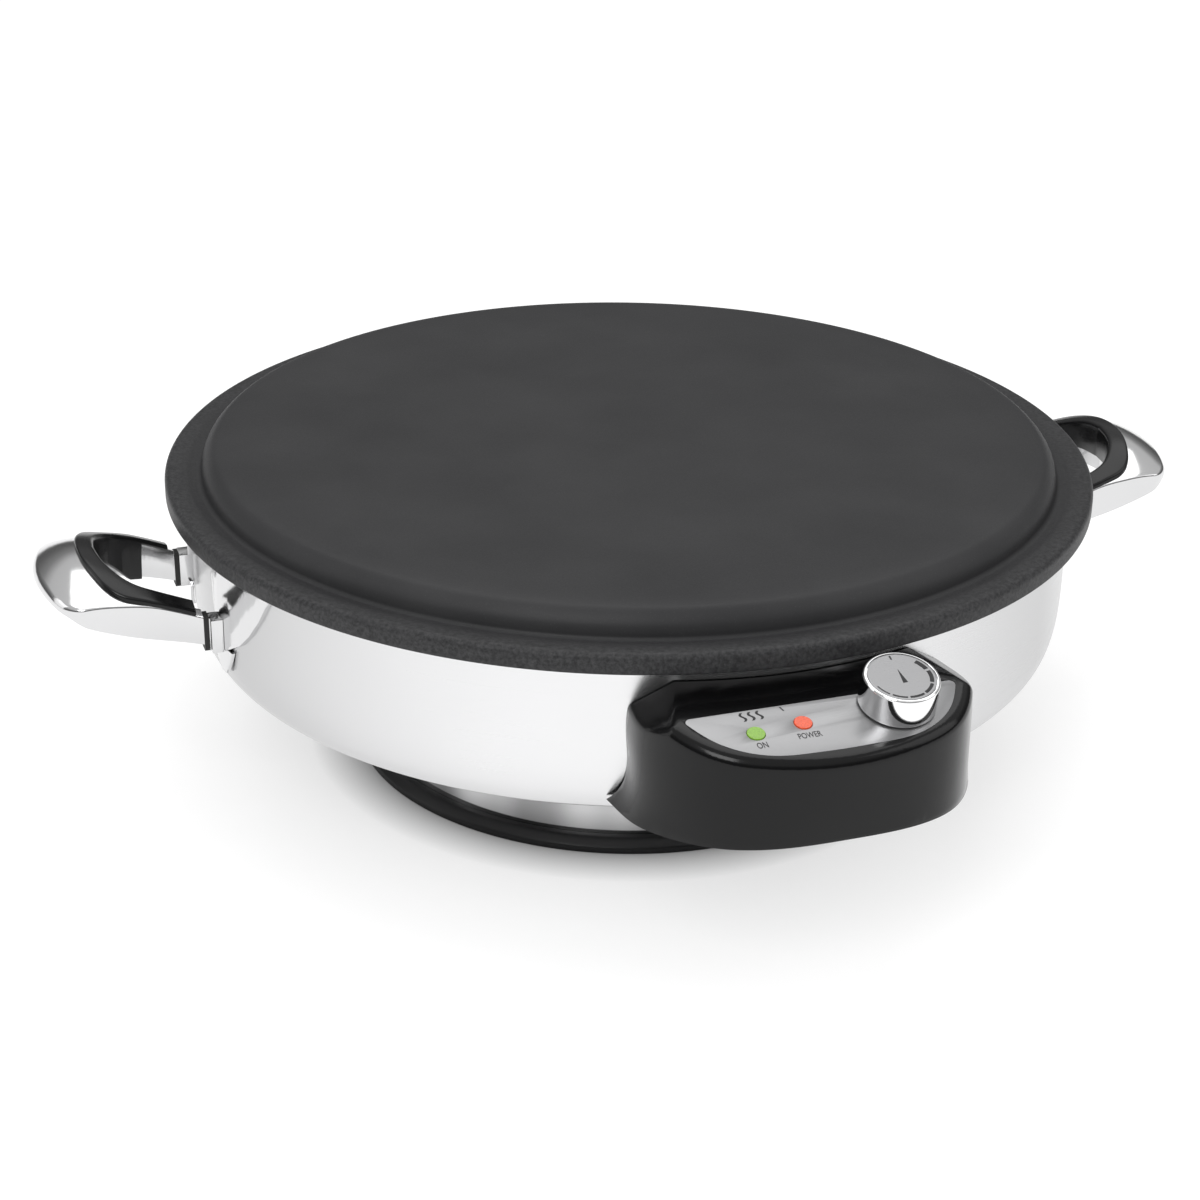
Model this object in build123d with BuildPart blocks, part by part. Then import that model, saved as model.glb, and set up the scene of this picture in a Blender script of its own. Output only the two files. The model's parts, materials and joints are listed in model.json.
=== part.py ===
# Electric griddle: lift-off cast plate on a stainless bowl with a front control box.
# Millimetres, +Z up, front of the griddle toward -Y. Everything is drawn about the
# bowl axis and moved by AXIS_Y at export, so the origin is the bottom centre.
import os
from math import cos, radians, sin, tan

from build123d import *

os.makedirs("parts", exist_ok=True)

GAP = 0.3

# Overall placing
AXIS_Y = 23.0

# Griddle plate
PLATE_R = 210.0
PLATE_TOP_Z = 148.2
PLATE_LEDGE_Z = 137.4
PLATE_RIM_Z = 129.0
PLATEAU_R = 193.2
PLATE_SEAT_Z = 133.0
PLATE_UNDER_Z = 143.2

# Bowl
BOWL_R = 200.0
BOWL_T = 1.0
BOWL_CORNER_R = 22.0
BOWL_CORNER_Z = 61.7
BOWL_FLAT_R = 122.0
BOWL_FLOOR_Z = 40.4
BOWL_RIM_Z = PLATE_SEAT_Z - GAP

# Foot
FOOT_R = 120.0
FOOT_T = 1.0
RING_R = 127.0
RING_TOP_R = 123.2
RING_TOP_Z = 6.3
SHELF_Z = 3.0
COVER_SCREW_R = 103.0
COVER_SCREWS = 4

# Heating parts
DISH_R = 186.0
DISH_Z = 92.0
DISH_RIM_Z = 106.0
DISH_T = 0.8
ELEMENT_R = 118.0
ELEMENT_Z = 122.0
ELEMENT_D = 8.0
ELEMENT_BEND_R = 10.0
ELEMENT_END_Z = 80.0
TUBE_HOLE = (0.0, -92.0)
POST_XY = (0.0, -60.0)
BULB_Z = 131.0
BULB_R = 3.0
ELEMENT_GAP_DEG = 22.0
CLIP_ANGLES = (20.0, 90.0, 160.0, 215.0, 325.0)

# Handles
TIP_X = 271.0
ROOT_X = 205.5
ARM_OUT = 37.8
ARM_IN = 31.5
GRIP_IN = 28.9
GRIP_IN_X = 244.6
GRIP_OUT_X = 252.4
GRIP_PROUD = 2.4
CROWN_HALF = 42.0

# Control box
FASCIA_TILT = 14.0
LEDGE_RISE = 0.0755
FASCIA_Y = -221.8
FASCIA_Z = 119.7
FASCIA_HALF = 57.8
FASCIA_T = 0.8
WALL = 2.5
SEAL_T = 0.8
KNOB_X = 28.4
KNOB_Y = -230.0
KNOB_R = 15.4
KNOB_TOP_R = 15.1
KNOB_H = 13.6
CAP_R = 13.6
SHAFT_R = 3.0
LAMPS = {"lens_green": (-32.0, -234.7), "lens_orange": (-11.9, -232.8)}
LAMP_R = 3.6
GLAND_X = 67.9
GLAND_Y = -205.0
GLAND_Z = 90.0
GLAND_BORE_R = 3.2


def save(piece, name):
    """Label a finished piece, move it to the shared origin and export it."""
    solid = piece.moved(Location((0, AXIS_Y, 0)))
    solid.label = name
    export_step(solid, f"parts/{name}.step")


def near(sketch, x, y):
    """Vertex of a sketch closest to a local point."""
    return sketch.vertices().sort_by_distance(Vector(x, y, 0))[0]


def polar(radius, angle, z):
    """Point at a radius and angle about the bowl axis."""
    return (radius * cos(radians(angle)), radius * sin(radians(angle)), z)


# ---------------------------------------------------------------- griddle plate
with BuildPart() as griddle_plate:
    with BuildSketch(Plane.XZ) as plate_half:
        with BuildLine():
            Spline(
                (PLATEAU_R - 9.2, PLATE_TOP_Z),
                (PLATEAU_R - 2.7, PLATE_TOP_Z - 2.9),
                (PLATEAU_R + 0.3, PLATE_TOP_Z - 9.5),
                tangents=((1, 0), (0.05, -1)),
            )
            Polyline(
                (PLATEAU_R + 0.3, PLATE_TOP_Z - 9.5),
                (PLATEAU_R + 0.6, 136.9),
                (196.8, 136.9),
                (200.0, PLATE_LEDGE_Z),
                (PLATE_R, PLATE_LEDGE_Z + 0.3),
                (PLATE_R, PLATE_RIM_Z),
                (206.6, PLATE_RIM_Z),
                (206.6, PLATE_SEAT_Z),
                (197.2, PLATE_SEAT_Z),
                (197.2, 126.5),
                (192.5, 126.5),
                (188.0, PLATE_UNDER_Z),
                (0, PLATE_UNDER_Z),
                (0, PLATE_TOP_Z),
                (PLATEAU_R - 9.2, PLATE_TOP_Z),
            )
        make_face()
        fillet(near(plate_half, PLATEAU_R + 0.6, 136.9), 1.2)
        fillet(near(plate_half, 196.8, 136.9), 1.5)
        fillet(near(plate_half, 200.0, PLATE_LEDGE_Z), 1.5)
        fillet(near(plate_half, PLATE_R, PLATE_LEDGE_Z + 0.3), 2.6)
        fillet(near(plate_half, PLATE_R, PLATE_RIM_Z), 0.8)
        fillet(near(plate_half, 188.0, PLATE_UNDER_Z), 3.0)
    revolve(axis=Axis.Z)
    with BuildSketch(Plane.XY.offset(PLATE_UNDER_Z)):
        for ring_r in (60.0, 150.0):
            Circle(ring_r + 2.0)
            Circle(ring_r - 2.0, mode=Mode.SUBTRACT)
    extrude(amount=-2.5)

# ------------------------------------------------------------------------- bowl
with BuildPart() as bowl_envelope:
    with BuildSketch(Plane.XZ) as bowl_half:
        with BuildLine():
            Polyline(
                (0, BOWL_FLOOR_Z),
                (BOWL_FLAT_R, BOWL_FLOOR_Z),
                (BOWL_R, BOWL_CORNER_Z),
                (BOWL_R, BOWL_RIM_Z - 1.5),
                (0, BOWL_RIM_Z - 1.5),
                close=True,
            )
        make_face()
        fillet(near(bowl_half, BOWL_R, BOWL_CORNER_Z), BOWL_CORNER_R)
    revolve(axis=Axis.Z)


def bowl_skin(distance):
    """Solid bounded by the bowl's outer face moved outward by a distance."""
    with BuildPart(mode=Mode.PRIVATE) as skin:
        with BuildSketch(Plane.XZ) as half:
            with BuildLine():
                Polyline(
                    (0, BOWL_FLOOR_Z - distance),
                    (BOWL_FLAT_R, BOWL_FLOOR_Z - distance),
                    (BOWL_R + distance, BOWL_CORNER_Z - 0.76 * distance),
                    (BOWL_R + distance, 140),
                    (0, 140),
                    close=True,
                )
            make_face()
            fillet(near(half, BOWL_R + distance, BOWL_CORNER_Z), BOWL_CORNER_R + distance)
        revolve(axis=Axis.Z)
    return skin.part


outer_skin = bowl_skin(0.0)
box_skin = bowl_skin(SEAL_T)

BOX_HOLE_Z = 96.0
LUG_SCREW_Z = 93.0
LUG_SCREW_Y = 34.65
BRACKET_HOLES = [(x, z) for x in (-36.0, 36.0) for z in (86.0, 106.0)]

with BuildPart() as bowl_shell:
    add(bowl_envelope.part)
    offset(
        amount=-BOWL_T,
        openings=bowl_shell.faces().sort_by(Axis.Z)[-1],
        mode=Mode.REPLACE,
    )
    with BuildSketch(Plane.XZ):
        with Locations((BOWL_R + 0.2, BOWL_RIM_Z - 1.5)):
            Circle(1.5)
    revolve(axis=Axis.Z)
    with BuildSketch(Plane.XZ.offset(190)):
        with Locations((0, BOX_HOLE_Z)):
            RectangleRounded(44, 16, 4)
        with Locations(*BRACKET_HOLES):
            Circle(2.2)
    extrude(amount=20, mode=Mode.SUBTRACT)
    with BuildSketch(Plane.YZ.offset(-210)):
        with Locations((LUG_SCREW_Y, LUG_SCREW_Z), (-LUG_SCREW_Y, LUG_SCREW_Z)):
            Circle(2.1)
    extrude(amount=420, mode=Mode.SUBTRACT)

# ------------------------------------------------------------------------- foot
with BuildPart() as foot_shell:
    with BuildSketch(Plane.XZ) as foot_half:
        with BuildLine():
            Polyline(
                (FOOT_R, SHELF_Z),
                (FOOT_R, BOWL_FLOOR_Z),
                (FOOT_R - 9, BOWL_FLOOR_Z),
                (FOOT_R - 9, BOWL_FLOOR_Z - FOOT_T),
                (FOOT_R - FOOT_T, BOWL_FLOOR_Z - FOOT_T),
                (FOOT_R - FOOT_T, SHELF_Z + 2),
                (96, SHELF_Z + 2),
                (96, SHELF_Z + 1),
                (FOOT_R - FOOT_T - 0.2, SHELF_Z + 1),
                (FOOT_R - FOOT_T - 0.2, SHELF_Z),
                close=True,
            )
        make_face()
        fillet(near(foot_half, FOOT_R, BOWL_FLOOR_Z), 0.8)
    revolve(axis=Axis.Z)
    with PolarLocations(COVER_SCREW_R, COVER_SCREWS, 45):
        Hole(1.6)

with BuildPart() as base_ring:
    with BuildSketch(Plane.XZ) as ring_half:
        with BuildLine():
            Polyline(
                (110, 0),
                (RING_R, 0),
                (RING_R, 2.6),
                (RING_TOP_R, RING_TOP_Z),
                (FOOT_R, RING_TOP_Z),
                (FOOT_R, SHELF_Z),
                (110, SHELF_Z),
                close=True,
            )
        make_face()
        fillet(near(ring_half, RING_R, 0), 0.6)
        fillet(near(ring_half, RING_R, 2.6), 1.6)
        fillet(near(ring_half, RING_TOP_R, RING_TOP_Z), 1.0)
    revolve(axis=Axis.Z)
    with BuildSketch(Plane.XY) as tread:
        Circle(118.4)
        Circle(117.6, mode=Mode.SUBTRACT)
    extrude(amount=0.5, mode=Mode.SUBTRACT)

with BuildPart() as bottom_cover:
    with BuildSketch(Plane.XY.offset(SHELF_Z)):
        Circle(FOOT_R - FOOT_T - 0.5)
        with PolarLocations(COVER_SCREW_R, COVER_SCREWS, 45):
            Circle(1.7, mode=Mode.SUBTRACT)
        with PolarLocations(60, 12):
            SlotOverall(26, 4, rotation=0, mode=Mode.SUBTRACT)
    extrude(amount=0.9)
    with BuildSketch(Plane.XY.offset(SHELF_Z + 0.9)):
        Circle(34)
        Circle(30, mode=Mode.SUBTRACT)
    extrude(amount=0.8)

with BuildPart() as cover_screws:
    with PolarLocations(COVER_SCREW_R, COVER_SCREWS, 45):
        with Locations((0, 0, SHELF_Z)):
            Cylinder(3.4, 1.9, align=(Align.CENTER, Align.CENTER, Align.MAX))
            Cylinder(1.45, 6, align=(Align.CENTER, Align.CENTER, Align.MIN))
    fillet(cover_screws.edges().group_by(Axis.Z)[0], 0.7)
    with PolarLocations(COVER_SCREW_R, COVER_SCREWS, 45):
        with Locations((0, 0, SHELF_Z - 1.9)):
            for turn in (0, 90):
                Box(3.2, 0.8, 1.0, rotation=(0, 0, turn),
                    align=(Align.CENTER, Align.CENTER, Align.MIN), mode=Mode.SUBTRACT)

# ---------------------------------------------------------------- heating parts
start_deg = -90 + ELEMENT_GAP_DEG / 2
end_deg = 270 - ELEMENT_GAP_DEG / 2
loop_start = Vector(*polar(ELEMENT_R, start_deg, ELEMENT_Z))
loop_end = Vector(*polar(ELEMENT_R, end_deg, ELEMENT_Z))
start_dir = Vector(-sin(radians(start_deg)), cos(radians(start_deg)), 0)
end_dir = Vector(-sin(radians(end_deg)), cos(radians(end_deg)), 0)
bend_in = loop_start - start_dir * ELEMENT_BEND_R - Vector(0, 0, ELEMENT_BEND_R)
bend_out = loop_end + end_dir * ELEMENT_BEND_R - Vector(0, 0, ELEMENT_BEND_R)
leg_in = Vector(bend_in.X, bend_in.Y, ELEMENT_END_Z)
leg_out = Vector(bend_out.X, bend_out.Y, ELEMENT_END_Z)

with BuildPart() as reflector_dish:
    with BuildSketch(Plane.XZ) as dish_half:
        with BuildLine():
            Polyline(
                (0, DISH_Z),
                (148, DISH_Z),
                (172, DISH_RIM_Z),
                (DISH_R, DISH_RIM_Z),
                (DISH_R, DISH_RIM_Z + DISH_T),
                (171.6, DISH_RIM_Z + DISH_T),
                (147.6, DISH_Z + DISH_T),
                (0, DISH_Z + DISH_T),
                close=True,
            )
        make_face()
    revolve(axis=Axis.Z)
    with BuildSketch(Plane.XY.offset(DISH_Z)):
        with Locations(*[(leg.X, leg.Y) for leg in (leg_in, leg_out)]):
            Circle(6.2)
        with Locations(POST_XY):
            Circle(2.4)
        with Locations(TUBE_HOLE):
            Circle(5)
        with PolarLocations(148 * 0.55, 6, 30):
            Circle(5)
    extrude(amount=DISH_T, mode=Mode.SUBTRACT)
    with PolarLocations(179.5, 3, 90):
        Hole(2.2)

with BuildPart() as dish_supports:
    with PolarLocations(BOWL_R - BOWL_T, 3, 90):
        with Locations((-1.0, 0, DISH_RIM_Z - 8)):
            Box(1.6, 16, 16, align=(Align.CENTER, Align.CENTER, Align.CENTER))
        with Locations((-1.0, 0, DISH_RIM_Z - 1.6)):
            Box(25.0, 16, 1.6, align=(Align.MAX, Align.CENTER, Align.MIN))
    with PolarLocations(179.5, 3, 90):
        Hole(1.6)

with BuildPart() as dish_screws:
    with PolarLocations(179.5, 3, 90):
        with Locations((0, 0, DISH_RIM_Z + DISH_T)):
            Cylinder(3.2, 1.8, align=(Align.CENTER, Align.CENTER, Align.MIN))
            Cylinder(1.5, 6, align=(Align.CENTER, Align.CENTER, Align.MAX))
    fillet(dish_screws.edges().group_by(Axis.Z)[-1], 0.6)

with BuildPart() as heating_element:
    with BuildLine() as element_path:
        Line(leg_in, bend_in)
        TangentArc(bend_in, loop_start, tangent=(0, 0, 1))
        ThreePointArc(loop_start, polar(ELEMENT_R, 90, ELEMENT_Z), loop_end)
        TangentArc(loop_end, bend_out, tangent=end_dir)
        Line(bend_out, leg_out)
    with BuildSketch(Plane(origin=leg_in, z_dir=(0, 0, 1))):
        Circle(ELEMENT_D / 2)
    sweep(transition=Transition.ROUND)

with BuildPart() as element_clips:
    for angle in CLIP_ANGLES:
        with Locations(Location(polar(ELEMENT_R, angle, DISH_Z + DISH_T), (0, 0, angle))):
            Box(18, 9, 1.5, align=(Align.CENTER, Align.CENTER, Align.MIN))
            Box(13, 3, ELEMENT_Z - DISH_Z + 5.5, align=(Align.CENTER, Align.CENTER, Align.MIN))
    with BuildSketch(Plane.XZ) as ring_cut:
        with Locations((ELEMENT_R, ELEMENT_Z)):
            Circle(ELEMENT_D / 2 + 0.1)
    revolve(axis=Axis.Z, mode=Mode.SUBTRACT)

with BuildPart() as element_bushings:
    for leg in (leg_in, leg_out):
        with Locations((leg.X, leg.Y, DISH_Z)):
            Cylinder(6.0, 9, align=(Align.CENTER, Align.CENTER, Align.CENTER))
            Cylinder(7.2, 2.6, align=(Align.CENTER, Align.CENTER, Align.MAX))
            Cylinder(ELEMENT_D / 2 + 0.1, 16, mode=Mode.SUBTRACT)

with BuildPart() as element_tabs:
    for leg in (leg_in, leg_out):
        with Locations((leg.X, leg.Y, ELEMENT_END_Z)):
            Cylinder(1.6, 5, align=(Align.CENTER, Align.CENTER, Align.MAX))
            Box(0.8, 6.3, 9, align=(Align.CENTER, Align.CENTER, Align.MAX))

# ------------------------------------------------------------------ control box
# Half widths of the housing at WALL_POINTS, rear end first, then its front, for rising heights.
WALL_POINTS = (-178, -196, -212, -229, -244, -251.8)
OUTLINES = {
    62.0: (78.5, 78.3, 73.3, 63.2, 48.5, 30.0, -252.8),
    70.0: (71.5, 72.6, 71.3, 62.8, 48.5, 30.0, -253.5),
    79.0: (66.3, 69.0, 69.4, 62.4, 48.5, 30.0, -254.3),
    94.0: (65.6, 68.4, 68.8, 62.2, 48.5, 30.0, -255.2),
    108.0: (65.6, 68.4, 68.6, 62.0, 48.5, 30.0, -256.0),
    126.0: (65.6, 68.4, 68.4, 61.8, 48.5, 30.0, -256.4),
}


def box_section(z, inset):
    """Face of the control box outline at one height, drawn in by an inset."""
    *widths, front = OUTLINES[z]
    half = []
    for x, y in [*zip(widths, WALL_POINTS), (0.0, front)]:
        turn = min(1.0, max(0.0, x / 60.0)) ** 2
        half.append((x - inset * turn if x else 0.0, y + inset * (1 - turn * 0.75)))
    with BuildSketch(Plane.XY.offset(z), mode=Mode.PRIVATE) as section:
        with BuildLine():
            Spline(*half, *[(-x, y) for x, y in half[-2::-1]])
            Line((-half[0][0], half[0][1]), half[0])
        make_face()
    return section.sketch.face()


def box_solid(inset, top_drop, bottom_rise):
    """Control box volume between its sloping bottom and its folded top."""
    sections = [box_section(z, inset) for z in OUTLINES]
    with BuildPart(mode=Mode.PRIVATE) as solid:
        loft(sections)
        with BuildSketch(Plane.YZ):
            with BuildLine():
                Polyline(
                    (-270, 77.0 + bottom_rise),
                    (-170, 66.4 + bottom_rise),
                    (-170, FASCIA_Z + LEDGE_RISE * (-170 - FASCIA_Y) - top_drop),
                    (FASCIA_Y, FASCIA_Z - top_drop),
                    (-270, FASCIA_Z - tan(radians(FASCIA_TILT)) * (270 + FASCIA_Y) - top_drop),
                    close=True,
                )
            make_face()
        extrude(amount=100, both=True, mode=Mode.INTERSECT)
        for side in (-1, 1):
            split(
                bisect_by=Plane(
                    origin=(side * 50, -194, 121.8 - top_drop),
                    z_dir=(side * 0.499, 0.102, 0.860),
                ),
                keep=Keep.BOTTOM,
            )
    return solid.part


fascia_plane = Plane(
    origin=(0, FASCIA_Y, FASCIA_Z),
    x_dir=(1, 0, 0),
    z_dir=(0, -sin(radians(FASCIA_TILT)), cos(radians(FASCIA_TILT))),
)
FASCIA_EDGE = ((55.4, -4.6), (49.3, -14.2), (40.5, -21.8), (28.0, -26.9), (14.0, -28.2), (0, -28.5))


def on_fascia(x, y):
    """Local fascia coordinates of a point given by its plan position."""
    return (x, (y - FASCIA_Y) / cos(radians(FASCIA_TILT)))


def fascia_face(inset, holes):
    """Flat face of the fascia, drawn in by an inset, with or without its holes."""
    with BuildSketch(mode=Mode.PRIVATE) as face:
        with BuildLine():
            edge = [(FASCIA_HALF - inset, -inset), *FASCIA_EDGE]
            Spline(*edge, *[(-x, y) for x, y in edge[-2::-1]])
            Line((-edge[0][0], edge[0][1]), edge[0])
        make_face()
        fillet(face.vertices(), 2.2)
        if holes:
            for x, y in LAMPS.values():
                with Locations(on_fascia(x, y)):
                    Circle(LAMP_R + 0.15, mode=Mode.SUBTRACT)
            with Locations(on_fascia(KNOB_X, KNOB_Y)):
                Circle(5.2, mode=Mode.SUBTRACT)
    return face.sketch.face()


knob_plane = Plane(
    origin=fascia_plane.from_local_coords(on_fascia(KNOB_X, KNOB_Y)),
    x_dir=(1, 0, 0),
    z_dir=fascia_plane.z_dir,
)

POSTS = ((-46.0, -235.0), (46.0, -235.0), (0.0, -213.0))


def roof_z(y):
    """Height of the control box's top surface at a distance to the front."""
    return FASCIA_Z + min(0.0, (y - FASCIA_Y) * tan(radians(FASCIA_TILT)))


with BuildPart() as control_housing:
    add(box_solid(0.0, 0.0, 0.0))
    rim_edges = [
        edge
        for edge in control_housing.edges()
        if edge.center().Z > 107 and edge.center().Y < -196 and abs(edge.tangent_at(0.5).Z) < 0.75
        and (edge.center().Y < -224 or abs(edge.center().X) > 56)
    ]
    fillet(rim_edges, 5.0)
    add(box_solid(WALL, WALL, -3.0), mode=Mode.SUBTRACT)
    for x, y in POSTS:
        with Locations((x, y, 78)):
            Cylinder(3.4, roof_z(y) - 79.2, align=(Align.CENTER, Align.CENTER, Align.MIN))
            Cylinder(1.3, 20, align=(Align.CENTER, Align.CENTER, Align.MIN), mode=Mode.SUBTRACT)
    add(box_skin, mode=Mode.SUBTRACT)
    with BuildSketch(fascia_plane):
        add(fascia_face(-0.25, False))
    extrude(amount=-FASCIA_T - 0.15, mode=Mode.SUBTRACT)
    with BuildSketch(fascia_plane):
        for x, y in LAMPS.values():
            with Locations(on_fascia(x, y)):
                Circle(LAMP_R + 0.15)
        with Locations(on_fascia(KNOB_X, KNOB_Y)):
            Circle(5.2)
    extrude(amount=-8, mode=Mode.SUBTRACT)
    with BuildSketch(Plane.YZ.offset(GLAND_X)):
        with Locations((GLAND_Y, GLAND_Z)):
            Circle(9.3)
    extrude(amount=12, mode=Mode.SUBTRACT)
    with BuildSketch(Plane.YZ.offset(GLAND_X - 8)):
        with Locations((GLAND_Y, GLAND_Z)):
            Circle(6.6)
    extrude(amount=12, mode=Mode.SUBTRACT)

with BuildPart() as control_base:
    add(box_solid(WALL + 0.25, 10.0, 0.6))
    with BuildSketch(Plane.YZ):
        with BuildLine():
            Polyline((-270, 79.2), (-170, 68.6), (-170, 130), (-270, 130), close=True)
        make_face()
    extrude(amount=100, both=True, mode=Mode.SUBTRACT)
    add(bowl_skin(SEAL_T + 0.3), mode=Mode.SUBTRACT)
    for x, y in POSTS:
        with Locations((x, y, 60)):
            Cylinder(1.7, 30, align=(Align.CENTER, Align.CENTER, Align.MIN), mode=Mode.SUBTRACT)
    with Locations(*[(x, -222, 70) for x in range(-24, 25, 8)]):
        Box(3, 14, 20, mode=Mode.SUBTRACT)

with BuildPart() as base_screws:
    for x, y in POSTS:
        under = 77.1 - 0.106 * (270 + y)
        with Locations((x, y, under)):
            Cylinder(3.0, 1.6, align=(Align.CENTER, Align.CENTER, Align.MAX))
            Cylinder(1.2, 12, align=(Align.CENTER, Align.CENTER, Align.MIN))
            Box(0.8, 3.4, 1.6, align=(Align.CENTER, Align.CENTER, Align.MAX), mode=Mode.SUBTRACT)

with BuildPart() as fascia_plate:
    with BuildSketch(fascia_plane):
        add(fascia_face(0.0, True))
    extrude(amount=-FASCIA_T)

lenses = {}
for name, (x, y) in LAMPS.items():
    with BuildPart() as lens:
        with BuildSketch(fascia_plane.offset(-7)):
            with Locations(on_fascia(x, y)):
                Circle(LAMP_R)
        extrude(amount=7.5)
        fillet(lens.edges().sort_by(Axis.Z)[-1], 0.3)
    lenses[name] = lens

with BuildPart() as lamp_holders:
    with BuildSketch(fascia_plane.offset(-17)):
        for x, y in LAMPS.values():
            with Locations(on_fascia(x, y)):
                Circle(LAMP_R + 1.4)
    extrude(amount=13.2)
    with BuildSketch(fascia_plane.offset(-14)):
        for x, y in LAMPS.values():
            with Locations(on_fascia(x, y)):
                Circle(LAMP_R + 0.1)
    extrude(amount=20, mode=Mode.SUBTRACT)

with BuildPart() as knob_body:
    with BuildSketch(knob_plane.offset(0.6)):
        Circle(KNOB_R)
    with BuildSketch(knob_plane.offset(KNOB_H)):
        Circle(KNOB_TOP_R)
    loft()
    fillet(knob_body.edges().sort_by(Axis.Z)[-1], 1.0)
    with BuildSketch(knob_plane.offset(3.2)):
        Circle(KNOB_R + 2)
        with BuildSketch(mode=Mode.SUBTRACT):
            Circle(KNOB_R + 2)
            for turn in (20, 110, 200, 290):
                with Locations((-3.3 * cos(radians(turn)), -3.3 * sin(radians(turn)))):
                    Circle(KNOB_R + 3.0, mode=Mode.INTERSECT)
    extrude(amount=KNOB_H - 5.6, mode=Mode.SUBTRACT)
    with BuildSketch(knob_plane.offset(KNOB_H - 0.9)):
        Circle(CAP_R + 0.2)
    extrude(amount=2, mode=Mode.SUBTRACT)
    with BuildSketch(knob_plane):
        Circle(KNOB_R - 2.4)
        Circle(5.6, mode=Mode.SUBTRACT)
    extrude(amount=KNOB_H - 4, mode=Mode.SUBTRACT)
    with BuildSketch(knob_plane):
        Circle(SHAFT_R + 0.05)
    extrude(amount=KNOB_H - 3.5, mode=Mode.SUBTRACT)

with BuildPart() as knob_cap:
    with BuildSketch(knob_plane.offset(KNOB_H - 0.9)):
        Circle(CAP_R)
    extrude(amount=0.8)
    with BuildSketch(knob_plane.offset(KNOB_H - 0.25)):
        with Locations((0, 9.4)):
            Circle(0.9)
    extrude(amount=1, mode=Mode.SUBTRACT)

with BuildPart() as knob_shaft:
    with BuildSketch(knob_plane.offset(-14)):
        Circle(SHAFT_R)
    extrude(amount=14 + KNOB_H - 3.8)

with BuildPart() as thermostat_body:
    with BuildSketch(knob_plane.offset(-26)):
        RectangleRounded(25, 22, 2)
    extrude(amount=17.2)
    with BuildSketch(knob_plane.offset(-9)):
        Circle(5)
    extrude(amount=5)
    with BuildSketch(knob_plane.offset(-15)):
        Circle(SHAFT_R + 0.05)
    extrude(amount=30, mode=Mode.SUBTRACT)

with BuildPart() as thermostat_plate:
    with BuildSketch(knob_plane.offset(-8.7)):
        RectangleRounded(26, 20, 2)
        Circle(5.2, mode=Mode.SUBTRACT)
    extrude(amount=1.2)

with BuildPart() as thermostat_tabs:
    with BuildSketch(knob_plane.offset(-32)):
        with Locations((-7, -5), (-7, 5), (7, 0)):
            Rectangle(0.8, 5)
    extrude(amount=5.9)

# ------------------------------------------------------------------- cord gland
with BuildPart() as cord_gland:
    with BuildSketch(Plane.YZ.offset(GLAND_X + 0.1)):
        with Locations((GLAND_Y, GLAND_Z)):
            Circle(9.0)
    extrude(amount=1.1)
    fillet(cord_gland.edges().group_by(Axis.X)[-1], 0.6)
    with BuildSketch(Plane.YZ.offset(GLAND_X - 5.5)):
        with Locations((GLAND_Y, GLAND_Z)):
            Circle(6.5)
    extrude(amount=5.7)
    with BuildSketch(Plane.YZ.offset(GLAND_X - 6)):
        with Locations((GLAND_Y, GLAND_Z)):
            Circle(GLAND_BORE_R)
    extrude(amount=12, mode=Mode.SUBTRACT)

with BuildPart() as gland_nut:
    with BuildSketch(Plane.YZ.offset(GLAND_X - 5)):
        with Locations((GLAND_Y, GLAND_Z)):
            RegularPolygon(9.0, 6)
            Circle(6.6, mode=Mode.SUBTRACT)
    extrude(amount=2.6)

# --------------------------------------------------- wiring, sensor and mounting
with BuildPart() as terminal_block:
    with Locations((-32, -214, 84)):
        Box(26, 12, 13, align=(Align.CENTER, Align.CENTER, Align.MIN))
    for x in (-40, -32, -24):
        with Locations((x, -214, 97)):
            Cylinder(2.4, 8, align=(Align.CENTER, Align.CENTER, Align.MAX), mode=Mode.SUBTRACT)

with BuildPart() as terminal_screws:
    for x in (-40, -32, -24):
        with Locations((x, -214, 89.2)):
            Cylinder(2.2, 5, align=(Align.CENTER, Align.CENTER, Align.MIN))
            with Locations((0, 0, 4.2)):
                Box(0.7, 5, 1, align=(Align.CENTER, Align.CENTER, Align.MIN), mode=Mode.SUBTRACT)

with BuildPart() as box_bracket:
    with Locations((0, -202.4, 96)):
        Box(84, 1.5, 26)
        Box(46, 6, 18, mode=Mode.SUBTRACT)
    with Locations(*[(x, -202.4, z) for x, z in BRACKET_HOLES]):
        Cylinder(2.2, 6, rotation=(90, 0, 0), mode=Mode.SUBTRACT)

with BuildPart() as box_bolts:
    for x, z in BRACKET_HOLES:
        head_y = -((BOWL_R - BOWL_T) ** 2 - (abs(x) + 3.6) ** 2) ** 0.5
        with Locations(Location((x, head_y, z), (90, 0, 0))):
            Cylinder(2.0, 10.5, align=(Align.CENTER, Align.CENTER, Align.MIN))
            Cylinder(3.6, 2.4, align=(Align.CENTER, Align.CENTER, Align.MAX))

with BuildPart() as box_seal:
    add(bowl_skin(SEAL_T - 0.1))
    add(bowl_skin(0.1), mode=Mode.SUBTRACT)
    with BuildSketch(Plane.XZ.offset(150)):
        with Locations((0, 97)):
            RectangleRounded(122, 36, 8)
            RectangleRounded(112, 26, 5, mode=Mode.SUBTRACT)
    extrude(amount=80, mode=Mode.INTERSECT)

with BuildPart() as sensor_bulb:
    with Locations((0, -60, BULB_Z)):
        Cylinder(BULB_R, 56, rotation=(0, 90, 0))
    fillet(sensor_bulb.edges(), 1.4)

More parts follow.
